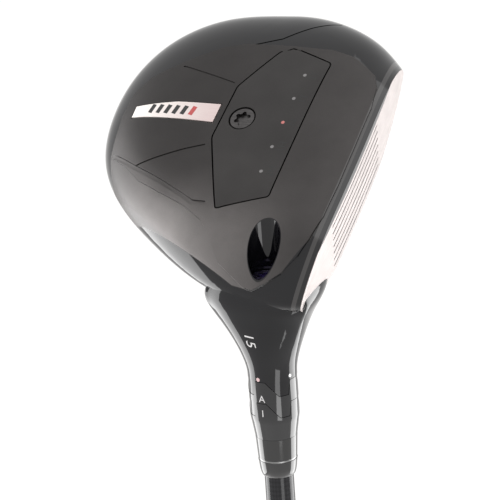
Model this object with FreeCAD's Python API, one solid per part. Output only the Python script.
"""Adjustable 15 degree fairway wood, right-handed, drawn in millimetres.

The club stands on its grip end: +Z runs up the shaft axis to the head, +X is the way the face
looks, and the origin is the middle of the flat grip cap.  The head is drawn in its own frame
(X from heel to toe, Y towards the target, Z up, origin where the shaft axis meets the ground)
and the pieces on the shaft axis are placed by their distance from that origin.
"""
import FreeCAD, Part
import math
import os

V = FreeCAD.Vector

# ---- overall sizes ------------------------------------------------------------------------
CLUB_LENGTH = 1092.0        # grip cap to the ground point, along the shaft
LIE = 57.0                  # degrees between shaft axis and ground
LOFT = 15.0                 # degrees

# ---- head shell ---------------------------------------------------------------------------
SEAM_HEIGHT = 15.5          # crown and sole meet at this height
CROWN_HEIGHT = 34.5         # top of the crown
HEAD_CENTRE = (33.0, -20.0)
OUTLINE = [(88, -26), (86.3, -9), (80.2, 4.2), (71, 15), (59.5, 25.5), (34, 30.5), (8, 30), (-8, 25),
           (-14.6, 14), (-15.6, 0), (-13.2, -13), (-7.4, -27), (2, -42.5), (14, -58), (27, -68),
           (43, -72), (59.5, -70.5), (73.8, -63), (84, -48.5)]
SOLE_WALL = 1.6
CROWN_WALL = 0.9
FACE_THICKNESS = 2.8
LEADING_EDGE = (28.0, 18.0, 2.5)
FACE_RADIUS = 620.0         # bulge and roll
FACE_CORNER = (-6.0, 0.0)   # ahead and heelward of this the casting reaches up to the face
HEEL_RAMP_START = 5.0
HEEL_RAMP_SLOPE = 0.26
HEEL_RAMP_BLEND = 2.5
SCORE_LINES = 8
SCORE_PITCH = 3.2
SCORE_START = 6.5           # height of the lowest line
SCORE_LENGTH = 38.0
SCORE_WIDTH = 0.6
SCORE_DEPTH = 0.35
PAD_STEP = 0.5              # how far the satin pads stand out of the glossy skin

# ---- neck and adapter, as distances from the ground point along the shaft ------------------
HOSEL_RADIUS = 7.2
HOSEL_END = 43.6
RING_END = 50.2
COLLAR_END = 62.0
COLLAR_RADIUS = 6.2
FERRULE_BAND = 69.2
FERRULE_BAND_WIDTH = 0.5
FERRULE_BAND_RADIUS = 5.75
FERRULE_END = 74.5
FERRULE_LIP = 0.35
TOOTH_COUNT = 4
TOOTH_DEPTH = 4.4
TOOTH_TURN = -50.0          # degrees, where the first tooth stands
TOOTH_PROFILE = [(-3.7, 0.0), (0.1, 1.0), (3.0, 1.0), (3.7, 0.0)]  # across, share of the depth
TOOTH_ROOT = 0.6            # how far the teeth are rooted in their piece
TOOTH_INSET = 0.08          # the teeth stand this far inside the round
TOOTH_GAP = 0.14
BORE_RADIUS = 5.3           # hosel bore
TUNNEL_WALL = 1.4
SPIGOT_FIT = 0.06
SPIGOT_START = 21.8
BOLT_SEAT = 17.8
LEDGE = 2.4
PORT_RADIUS = 4.9
BOLT_RADIUS = 2.45
BOLT_CLEARANCE = 0.35
BOLT_HEAD_RADIUS = 4.2
BOLT_HEAD = 3.8
BOLT_END = 32.0
BOLT_SOCKET_RADIUS = 2.5
BOLT_SOCKET_DEPTH = 2.4
WASHER = 0.8
THREAD_FIT = 0.06
INSERT_RADIUS = 3.6
INSERT_START = 22.8

# ---- shaft and grip -----------------------------------------------------------------------
TIP_RADIUS = 4.3
TIP_START = 34.0
TIP_PARALLEL_END = 100.0
BUTT_RADIUS = 7.6
SHAFT_WALL = 1.1
TIP_PLUG_LENGTH = 12.0
GLUE_GAP = 0.05
GRIP_LENGTH = 267.0
GRIP_BUTT_RADIUS = 13.6
GRIP_MIDDLE = 140.0
GRIP_MIDDLE_RADIUS = 11.2
GRIP_MOUTH_RADIUS = 8.5
GRIP_EDGE = 1.4
GRIP_CAP = 3.0
GRIP_CAP_RADIUS = 11.4
VENT_RADIUS = 1.0
TAPE = 0.35

# ---- weight track, its cover and the badge ------------------------------------------------
COVER_OUTLINE = [(12.2, -2.8), (63.3, -2.3), (67.8, -16.8), (65.2, -20.2), (50.5, -28.4),
                 (31.0, -29.2), (6.4, -18.6)]
COVER_CORNERS = [1.5, 1.6, 1.2, 1.2, 4.0, 5.0, 1.0]
COVER_GAP = 0.45
COVER_INSIDE = 2.0          # height of the cover's flat inner face
PAN_FLOOR = 1.5
PAN_LIP = 1.4
SCREW_PLACE = V(39.0, -22.1, 0)
SCREW_HEAD_RADIUS = 3.7
SCREW_HEAD_FACE = -0.3
SCREW_HEAD_SEAT = 1.0
SCREW_RECESS_RADIUS = 4.2
SCREW_WASHER = 0.4
SCREW_SOCKET_RADIUS = 2.6
SCREW_SOCKET_DEPTH = 1.0
SCREW_RADIUS = 2.2
SCREW_LENGTH = 8.5
SCREW_FIT = 0.06
SCREW_CLEARANCE = 0.2
BOSS_RADIUS = 4.6
BOSS_INSERT_RADIUS = 3.2
BOSS_HEIGHT = 9.6
TRACK_PLACE = V(39.0, -8.7, 0)
TRACK_PITCH = 9.1           # between the index marks
TRACK_STEPS = 2             # marks each side of the middle one
TRACK_DEPTH = 7.0
TRACK_WALL = 1.2
WEIGHT_LENGTH = 11.0
WEIGHT_WIDTH = 7.6
WEIGHT_CORNER = 1.0
WEIGHT_CLEARANCE = 0.35
LINER = 0.8
MARK_RADIUS = 0.55
MARK_INSIDE = 0.35
BADGE_OUTLINE = [(36.6, -59.4), (41.2, -59.3), (43.2, -45.0), (43.5, -30.4), (36.2, -30.6),
                 (36.4, -42.5)]
BADGE_DEPTH = 1.2
BADGE_GLUE = 0.25
BADGE_GAP = 0.3
BADGE_PROUD = 0.1
CREASES = [[(19.8, -50.5), (23.3, -42.1), (25.8, -36.4), (28.2, -30.0)],
           [(56.8, -49.1), (51.6, -29.6)]]
TOE_CREASE = [(67.6, -30.0), (71.2, -21.9), (77.7, -15.4), (83.2, -9.0)]
CREASE_WIDTH = 0.5
CREASE_DEPTH = 0.25
RATTLE_PAD_PLACE = V(66.0, -40.0, 0)
RATTLE_PAD_RADIUS = 7.0
RATTLE_PAD_HEIGHT = 2.6

os.makedirs("parts", exist_ok=True)


# ---- frames -------------------------------------------------------------------------------
SIN, COS = math.sin(math.radians(LIE)), math.cos(math.radians(LIE))
HEAD_FRAME = FreeCAD.Placement(FreeCAD.Matrix(
    0, 1, 0, 0,
    SIN, 0, COS, 0,
    COS, 0, -SIN, CLUB_LENGTH,
    0, 0, 0, 1))
AXIS = V(-COS, 0, SIN)      # from the head towards the grip, in the head's frame
ACROSS = V(SIN, 0, COS)     # square to the shaft, towards the crown and toe


def club(shape):
    """A head-frame shape, carried into the club's frame."""
    placed = shape.copy()
    placed.Placement = HEAD_FRAME.multiply(placed.Placement)
    return placed


def head(shape):
    """A club-frame shape, carried into the head's frame."""
    placed = shape.copy()
    placed.Placement = HEAD_FRAME.inverse().multiply(placed.Placement)
    return placed


def save(name, shape):
    shape.exportStep("parts/%s.step" % name)


# ---- plain helpers ------------------------------------------------------------------------
def rod(radius, start, end):
    """A round bar on the shaft axis between two distances from the ground point."""
    return Part.makeCylinder(radius, end - start, V(0, 0, CLUB_LENGTH - end), V(0, 0, 1))


def tube(outer, inner, start, end):
    return rod(outer, start, end).cut(rod(inner, start - 1, end + 1))


def turned(points):
    """A solid of revolution from (radius, distance from the ground point) corners."""
    corners = [V(radius, 0, CLUB_LENGTH - distance) for radius, distance in points]
    face = Part.Face(Part.makePolygon(corners + corners[:1]))
    return face.revolve(V(0, 0, 0), V(0, 0, 1), 360)


def rounded(outline, radii):
    """A closed outline in the XY plane whose corners are arcs."""
    count = len(outline)
    corners = [V(x, y, 0) for x, y in outline]
    marks = []
    for i, corner in enumerate(corners):
        back = (corners[i - 1] - corner).normalize()
        ahead = (corners[(i + 1) % count] - corner).normalize()
        half = back.getAngle(ahead) / 2
        reach = radii[i] / math.tan(half)
        inward = (back + ahead).normalize()
        middle = corner + inward * (radii[i] / math.sin(half) - radii[i])
        marks.append((corner + back * reach, middle, corner + ahead * reach))
    edges = []
    for i, (start, middle, end) in enumerate(marks):
        edges.append(Part.Arc(start, middle, end).toShape())
        edges.append(Part.LineSegment(end, marks[(i + 1) % count][0]).toShape())
    return Part.Wire(edges)


def prism(wire, low, high, grow=0.0):
    """A flat outline, grown sideways, as an upright prism."""
    if grow:
        wire = wire.makeOffset2D(grow)
    face = Part.Face(wire)
    face.translate(V(0, 0, low))
    return face.extrude(V(0, 0, high - low))


def largest(shape):
    """The main solid of a cut, without the chips beside it."""
    return max(shape.Solids, key=lambda solid: solid.Volume)


def smooth(points, pace):
    """A closed smooth curve through the points, at the given parameters."""
    curve = Part.BSplineCurve()
    curve.interpolate(Points=points, PeriodicFlag=True, Parameters=pace)
    return Part.Wire(curve.toShape())


def star(radius, height):
    """A six-lobed driver socket standing on the XY plane."""
    body = Part.makeCylinder(radius * 0.74, height)
    for i in range(6):
        lobe = Part.makeCylinder(radius * 0.24, height, V(radius * 0.76, 0, 0))
        lobe.rotate(V(0, 0, 0), V(0, 0, 1), 60 * i)
        body = body.fuse(lobe)
    return body.removeSplitter()


# ---- head surfaces ------------------------------------------------------------------------
def heel_rise(x):
    """The sole ramps up to the neck at the heel."""
    run = (HEEL_RAMP_START - x) / HEEL_RAMP_BLEND
    return HEEL_RAMP_SLOPE * HEEL_RAMP_BLEND * math.log(1 + math.exp(run))


def sole_share(share):
    return 1 - (1 - share ** 4) ** (1 / 2.2)


def crown_share(share):
    return (1 - share ** 2) ** (1 / 1.4)


def outline_pace():
    """Running length along the outline, so that every section is paced alike."""
    corners = OUTLINE + OUTLINE[:1]
    pace = [0.0]
    for (x, y), (next_x, next_y) in zip(corners, corners[1:]):
        pace.append(pace[-1] + math.hypot(next_x - x, next_y - y))
    return [length / pace[-1] for length in pace]


def section(share, inset, height):
    points = []
    for x, y in OUTLINE:
        dx, dy = x - HEAD_CENTRE[0], y - HEAD_CENTRE[1]
        scale = share * (1 - inset / math.hypot(dx, dy))
        px, py = HEAD_CENTRE[0] + dx * scale, HEAD_CENTRE[1] + dy * scale
        points.append(V(px, py, height(px)))
    return smooth(points, outline_pace())


def bowl(inset, sole_wall, crown_wall):
    """The closed head form, drawn in by a wall thickness."""
    wires = [section(0.1, inset, lambda x: sole_wall)]
    for share in (0.2, 0.3, 0.4, 0.5, 0.6, 0.69, 0.77, 0.85, 0.92, 0.97):
        deep = 1 - sole_share(share)

        def height(x):
            return SEAM_HEIGHT * (1 - deep) + (heel_rise(x) + sole_wall) * deep
        wires.append(section(share, inset, height))
    top = CROWN_HEIGHT - SEAM_HEIGHT - crown_wall
    for share in (1.0, 0.98, 0.93, 0.86, 0.76, 0.62, 0.45, 0.25, 0.06):
        level = SEAM_HEIGHT + top * crown_share(share)
        wires.append(section(share, inset, lambda x: level))
    return Part.makeLoft(wires, True, False)


# distance from the ground point, then the reach to the sole, crown, back and face sides
NECK = [(HOSEL_END, 0, 0, 0, 0), (40.5, 0, 0.3, 0.4, 0.2), (37.5, 0.1, 1.5, 1.6, 0.8),
        (31.0, 0, 5.8, 5.8, 2.7), (25.0, -0.5, 12.6, 10.6, 4.8), (20.0, -1.2, 20.5, 12.6, 6.4),
        (15.5, -4.2, 24.0, 10.0, 3.4), (11.5, -6.4, 20.0, 3.0, -1.0)]


def neck(inset):
    """The hosel, flaring from its round end into the heel of the head."""
    wires = []
    for distance, sole, crown, back, front in NECK:
        points = []
        for i in range(16):
            turn = 2 * math.pi * i / 16
            up, side = math.cos(turn), math.sin(turn)
            reach_up = HOSEL_RADIUS - inset + (crown if up > 0 else sole)
            reach_side = HOSEL_RADIUS - inset + (front if side > 0 else back)
            points.append(AXIS * distance + ACROSS * (up * reach_up) + V(0, side * reach_side, 0))
        wires.append(smooth(points, [i / 16 for i in range(17)]))
    return Part.makeLoft(wires, True, False)


def face_ball(behind):
    """The bulged face surface, as a ball that holds all behind it."""
    normal = V(0, math.cos(math.radians(LOFT)), math.sin(math.radians(LOFT)))
    centre = V(*LEADING_EDGE) - normal * FACE_RADIUS
    return Part.makeSphere(FACE_RADIUS - behind, centre)


# ---- the head as one form, then cut into its pieces ----------------------------------------
PAD_OUTLINE = [(67.9, -10.0), (68.8, -4.9), (67.7, 2.2), (65.8, 6.2), (62.3, 10.8), (57.0, 13.8),
               (49.0, 15.4), (35.0, 15.7), (20.0, 15.8), (9.0, 15.2), (1.5, 13.2), (-3.5, 11.0),
               (-9.0, 6.6), (-12.0, 1.9), (-13.6, -2.0), (-12.9, -5.2), (-7.7, -14.0),
               (-1.0, -18.5), (3.2, -22.4), (7.4, -29.8), (11.4, -39.7), (15.2, -48.3),
               (20.6, -55.8), (24.0, -61.6), (20.4, -54.5), (18.4, -50.6), (14.2, -40.9),
               (9.6, -31.0), (7.6, -27.3), (7.5, -22.0), (31.0, -30.0), (50.5, -29.2),
               (65.4, -20.8)]
PANEL_OUTLINE = [(24.9, -61.0), (19.8, -50.5), (15.6, -40.7), (10.9, -30.7), (9.0, -27.0),
                 (8.8, -20.6), (31.0, -30.0), (50.5, -29.2), (65.4, -20.8), (67.4, -26.0),
                 (67.6, -31.5), (65.2, -39.0), (58.2, -50.5), (52.5, -58.6), (46.8, -62.6),
                 (38.5, -63.4), (30.5, -62.6)]


def outline_wire(outline):
    return Part.makePolygon([V(x, y, 0) for x, y in outline + outline[:1]])


def zone(outline):
    """A tall prism over an outline on the sole, up to the crown seam."""
    return prism(outline_wire(outline), -10, SEAM_HEIGHT)


def groove(points, width, depth):
    """A shallow line cut along the satin panel."""
    cutter = None
    for (x, y), (next_x, next_y) in zip(points, points[1:]):
        run = V(next_x - x, next_y - y, 0)
        side = V(-run.y, run.x, 0).normalize() * (width / 2)
        start, end = V(x, y, 0), V(next_x, next_y, 0)
        wire = Part.makePolygon([start - side, end - side, end + side, start + side, start - side])
        bar = prism(wire, -10, SEAM_HEIGHT)
        cutter = bar if cutter is None else cutter.fuse(bar)
    return cutter.cut(bowl(depth - PAD_STEP, depth - PAD_STEP, 0))


def upright(radius, low, high, place):
    """A round bar square to the sole."""
    return Part.makeCylinder(radius, high - low, place + V(0, 0, low))


def head_form():
    """The whole outside of the head, without the face's own cut lines."""
    pads = bowl(-PAD_STEP, -PAD_STEP, 0).common(zone(PAD_OUTLINE).fuse(zone(PANEL_OUTLINE)))
    return bowl(0, 0, 0).fuse(pads).common(face_ball(0)).fuse(neck(0))


cover_wire = rounded(COVER_OUTLINE, COVER_CORNERS)
outer = head_form()
behind_face = bowl(SOLE_WALL, SOLE_WALL, CROWN_WALL).common(face_ball(FACE_THICKNESS))
hollow = behind_face.fuse(neck(SOLE_WALL))

# striking face
face_plate = largest(outer.cut(face_ball(FACE_THICKNESS)).cut(neck(0)))
for line in range(SCORE_LINES):
    corner = V(LEADING_EDGE[0] - SCORE_LENGTH / 2, 0, SCORE_START + line * SCORE_PITCH)
    bar = Part.makeBox(SCORE_LENGTH, 100, SCORE_WIDTH, corner)
    face_plate = face_plate.cut(bar.cut(face_ball(SCORE_DEPTH)))
save("face_plate", club(face_plate))

# crown, down to the seam and round the neck
shell = outer.cut(face_plate).cut(hollow)
crown_zone = Part.makeBox(300, 300, 100, V(-150, -150, SEAM_HEIGHT)).cut(neck(0))
crown_zone = crown_zone.cut(Part.makeBox(100, 100, 200, V(FACE_CORNER[0] - 100, FACE_CORNER[1], 0)))
crown = largest(shell.common(crown_zone))
save("crown_shell", club(crown))

# casting: sole, skirt and neck, with the tunnel for the adapter, the track and the boss
channel_half = TRACK_STEPS * TRACK_PITCH + WEIGHT_LENGTH / 2 + WEIGHT_CLEARANCE
channel_side = WEIGHT_WIDTH / 2 + WEIGHT_CLEARANCE
track_top = COVER_INSIDE + TRACK_DEPTH


def track_box(wall, low, high):
    corner = TRACK_PLACE + V(-channel_half - wall, -channel_side - wall, low)
    return Part.makeBox(2 * (channel_half + wall), 2 * (channel_side + wall), high - low, corner)


tunnel = head(rod(BORE_RADIUS + TUNNEL_WALL, -12, HOSEL_END)).common(outer)
pan = prism(cover_wire, -3, COVER_INSIDE + PAN_FLOOR, PAN_LIP).common(outer)
boss_top = COVER_INSIDE + BOSS_HEIGHT
boss = upright(BOSS_RADIUS, COVER_INSIDE, boss_top + PAN_FLOOR, SCREW_PLACE)
casting = largest(shell.cut(crown_zone))
for piece in (tunnel, pan, track_box(TRACK_WALL, COVER_INSIDE, track_top + TRACK_WALL), boss):
    casting = casting.fuse(piece)
casting = casting.cut(prism(cover_wire, -10, COVER_INSIDE))
casting = casting.cut(track_box(0, -1, track_top))
casting = casting.cut(upright(BOSS_INSERT_RADIUS, 0, boss_top, SCREW_PLACE))
casting = casting.cut(head(rod(PORT_RADIUS, -40, BOLT_SEAT)))
casting = casting.cut(head(rod(BOLT_RADIUS + BOLT_CLEARANCE, -40, BOLT_SEAT + LEDGE + 1)))
casting = casting.cut(head(rod(BORE_RADIUS, BOLT_SEAT + LEDGE, HOSEL_END + 1)))


# ---- toothed adapter on the shaft axis ----------------------------------------------------
def teeth(base, gap):
    """The teeth that point from a plane towards the grip, as radial bars."""
    bars = None
    corners = [(u, share * TOOTH_DEPTH) for u, share in TOOTH_PROFILE]
    points = [V(3, u, CLUB_LENGTH - base - rise) for u, rise in corners]
    root = [V(3, TOOTH_PROFILE[-1][0], CLUB_LENGTH - base + 1),
            V(3, TOOTH_PROFILE[0][0], CLUB_LENGTH - base + 1)]
    wire = Part.makePolygon(points + root + points[:1])
    if gap:
        wire = wire.makeOffset2D(gap)
    bar = Part.Face(wire).extrude(V(7, 0, 0))
    for i in range(TOOTH_COUNT):
        turned_bar = bar.copy()
        turned_bar.rotate(V(0, 0, 0), V(0, 0, 1), TOOTH_TURN + 360 * i / TOOTH_COUNT)
        bars = turned_bar if bars is None else bars.fuse(turned_bar)
    return bars


def crowned(body, base, inner):
    """A round piece with teeth standing on its grip end."""
    tooth_ring = tube(HOSEL_RADIUS - TOOTH_INSET, inner, base - TOOTH_ROOT, base + TOOTH_DEPTH + 1)
    return body.fuse(tooth_ring.common(teeth(base, 0)))


def notched(body, base):
    """A round piece with notches that take the teeth of its neighbour."""
    return body.cut(teeth(base, TOOTH_GAP))


casting = head(crowned(club(casting), HOSEL_END, BORE_RADIUS))
for crease in CREASES:
    casting = casting.cut(groove(crease, CREASE_WIDTH, CREASE_DEPTH))
casting = casting.cut(groove(TOE_CREASE, CREASE_WIDTH, PAD_STEP + CREASE_DEPTH))
badge_wire = outline_wire(BADGE_OUTLINE)
badge_floor = BADGE_DEPTH - PAD_STEP
casting = casting.cut(prism(badge_wire, -10, SEAM_HEIGHT).cut(bowl(badge_floor, badge_floor, 0)))
save("head_casting", club(casting))

index_ring = tube(HOSEL_RADIUS, BORE_RADIUS, HOSEL_END + TOOTH_GAP, RING_END)
index_ring = crowned(notched(index_ring, HOSEL_END), RING_END, BORE_RADIUS)
save("index_ring", index_ring)

insert_end = TIP_START
spigot_radius = BORE_RADIUS - SPIGOT_FIT
collar = turned([(spigot_radius - 0.5, RING_END + TOOTH_GAP), (HOSEL_RADIUS, RING_END + TOOTH_GAP),
                 (HOSEL_RADIUS, RING_END + TOOTH_DEPTH + 1), (COLLAR_RADIUS, COLLAR_END),
                 (spigot_radius - 0.5, COLLAR_END)])
sleeve = notched(collar, RING_END).fuse(rod(spigot_radius, SPIGOT_START, COLLAR_END))
sleeve = sleeve.cut(rod(TIP_RADIUS + GLUE_GAP, insert_end, COLLAR_END + 1))
sleeve = sleeve.cut(rod(INSERT_RADIUS, SPIGOT_START - 1, insert_end + 1))
save("adapter_sleeve", sleeve)
save("sleeve_thread_insert", tube(INSERT_RADIUS, BOLT_RADIUS + THREAD_FIT, INSERT_START, insert_end))

shaft_bore = TIP_RADIUS + GLUE_GAP
band_half = FERRULE_BAND_WIDTH / 2
ferrule_end_radius = TIP_RADIUS + FERRULE_LIP + GLUE_GAP
save("ferrule", turned([(shaft_bore, COLLAR_END), (COLLAR_RADIUS, COLLAR_END),
                        (FERRULE_BAND_RADIUS, FERRULE_BAND - band_half),
                        (shaft_bore, FERRULE_BAND - band_half)]))
save("ferrule_band", tube(FERRULE_BAND_RADIUS, shaft_bore, FERRULE_BAND - band_half,
                          FERRULE_BAND + band_half))
taper = FERRULE_END - FERRULE_BAND
save("ferrule_tip", turned([(shaft_bore, FERRULE_BAND + band_half),
                            (FERRULE_BAND_RADIUS, FERRULE_BAND + band_half),
                            (FERRULE_BAND_RADIUS - 0.35, FERRULE_BAND + taper * 0.6),
                            (ferrule_end_radius + 0.35, FERRULE_END - 0.5),
                            (ferrule_end_radius, FERRULE_END), (shaft_bore, FERRULE_END)]))

# ---- bolt that draws the adapter into the head --------------------------------------------
head_start = BOLT_SEAT - WASHER - BOLT_HEAD
socket = star(BOLT_SOCKET_RADIUS, BOLT_SOCKET_DEPTH + 1)
socket.translate(V(0, 0, CLUB_LENGTH - head_start - BOLT_SOCKET_DEPTH))
bolt = rod(BOLT_HEAD_RADIUS, head_start, BOLT_SEAT - WASHER).fuse(
    rod(BOLT_RADIUS, BOLT_SEAT - WASHER, BOLT_END))
save("hosel_bolt", bolt.cut(socket))
save("bolt_washer", tube(PORT_RADIUS - BOLT_CLEARANCE, BOLT_RADIUS + THREAD_FIT,
                         BOLT_SEAT - WASHER, BOLT_SEAT))

# ---- track weight, liner, cover and its screw ---------------------------------------------
liner_low = track_top - LINER
weight_low = COVER_INSIDE + WEIGHT_CLEARANCE
weight = Part.makeBox(WEIGHT_LENGTH, WEIGHT_WIDTH, liner_low - WEIGHT_CLEARANCE - weight_low,
                      TRACK_PLACE + V(-WEIGHT_LENGTH / 2, -WEIGHT_WIDTH / 2, weight_low))
weight = weight.makeChamfer(WEIGHT_CORNER, weight.Edges)
save("track_weight", club(weight))
save("track_liner", club(track_box(0, liner_low, track_top)))

cover = outer.common(prism(cover_wire, -5, COVER_INSIDE, -COVER_GAP))
screw_seat = SCREW_HEAD_SEAT + SCREW_WASHER
cover = cover.cut(upright(SCREW_RECESS_RADIUS, -5, screw_seat, SCREW_PLACE))
cover = cover.cut(upright(SCREW_RADIUS + SCREW_CLEARANCE, -5, 5, SCREW_PLACE))
marks = None
for step in range(-TRACK_STEPS, TRACK_STEPS + 1):
    place = TRACK_PLACE + V(step * TRACK_PITCH, 0, 0)
    mark = upright(MARK_RADIUS, -5, MARK_INSIDE, place).common(cover)
    marks = mark if marks is None else marks.fuse(mark)
save("track_cover", club(cover.cut(marks)))
save("index_marks", club(marks))

screw = upright(SCREW_HEAD_RADIUS, SCREW_HEAD_FACE, SCREW_HEAD_SEAT, SCREW_PLACE)
screw = screw.fuse(upright(SCREW_RADIUS, SCREW_HEAD_SEAT, SCREW_HEAD_SEAT + SCREW_LENGTH,
                           SCREW_PLACE))
socket = star(SCREW_SOCKET_RADIUS, SCREW_SOCKET_DEPTH + 1)
socket.translate(SCREW_PLACE + V(0, 0, SCREW_HEAD_FACE - 1))
save("cover_screw", club(screw.cut(socket)))
washer = upright(SCREW_HEAD_RADIUS, SCREW_HEAD_SEAT, screw_seat, SCREW_PLACE)
save("cover_screw_washer", club(washer.cut(upright(SCREW_RADIUS + SCREW_FIT, 0, 5, SCREW_PLACE))))
insert = upright(BOSS_INSERT_RADIUS, COVER_INSIDE, boss_top, SCREW_PLACE)
save("cover_screw_insert", club(insert.cut(upright(SCREW_RADIUS + SCREW_FIT, 0, boss_top + 1,
                                                   SCREW_PLACE))))

# ---- badge in its pocket, and the rattle pad inside ---------------------------------------
glue_face = badge_floor - BADGE_GLUE
badge_body = prism(badge_wire, -10, SEAM_HEIGHT, -BADGE_GAP)
proud = -PAD_STEP - BADGE_PROUD
badge = badge_body.common(bowl(proud, proud, 0)).cut(bowl(glue_face, glue_face, 0))
save("sole_badge", club(badge))
glue = badge_body.common(bowl(glue_face, glue_face, 0)).cut(bowl(badge_floor, badge_floor, 0))
save("badge_adhesive", club(glue))
rattle_pad = upright(RATTLE_PAD_RADIUS, 0, RATTLE_PAD_HEIGHT + SOLE_WALL, RATTLE_PAD_PLACE)
save("rattle_pad", club(rattle_pad.common(bowl(SOLE_WALL, SOLE_WALL, CROWN_WALL))))

# ---- shaft and grip -----------------------------------------------------------------------
butt = CLUB_LENGTH - GRIP_CAP


def shaft_radius(distance):
    if distance < TIP_PARALLEL_END:
        return TIP_RADIUS
    share = (distance - TIP_PARALLEL_END) / (butt - TIP_PARALLEL_END)
    return TIP_RADIUS + (BUTT_RADIUS - TIP_RADIUS) * share


shaft_outside = [(TIP_RADIUS, TIP_START), (TIP_RADIUS, TIP_PARALLEL_END), (BUTT_RADIUS, butt)]
shaft_inside = [(radius - SHAFT_WALL, distance) for radius, distance in shaft_outside]
save("shaft", turned(shaft_outside + shaft_inside[::-1]))
save("shaft_tip_plug", rod(TIP_RADIUS - SHAFT_WALL, TIP_START, TIP_START + TIP_PLUG_LENGTH))

mouth = CLUB_LENGTH - GRIP_LENGTH
grip_ends = [mouth, butt]
under_grip = [(shaft_radius(distance), distance) for distance in grip_ends]
over_tape = [(radius + TAPE, distance) for radius, distance in under_grip]
save("grip_tape", turned(under_grip + over_tape[::-1]))
save("grip", turned([over_tape[0], (GRIP_MOUTH_RADIUS - 0.3, mouth),
                     (GRIP_MOUTH_RADIUS, mouth + 1),
                     (GRIP_MIDDLE_RADIUS, CLUB_LENGTH - GRIP_MIDDLE),
                     (GRIP_BUTT_RADIUS, CLUB_LENGTH - 2 * GRIP_EDGE),
                     (GRIP_BUTT_RADIUS - 0.4, CLUB_LENGTH - GRIP_EDGE * 0.7),
                     (GRIP_BUTT_RADIUS - GRIP_EDGE, CLUB_LENGTH),
                     (GRIP_CAP_RADIUS, CLUB_LENGTH), (GRIP_CAP_RADIUS, butt), over_tape[1]]))
save("grip_cap", tube(GRIP_CAP_RADIUS, VENT_RADIUS, butt, CLUB_LENGTH))
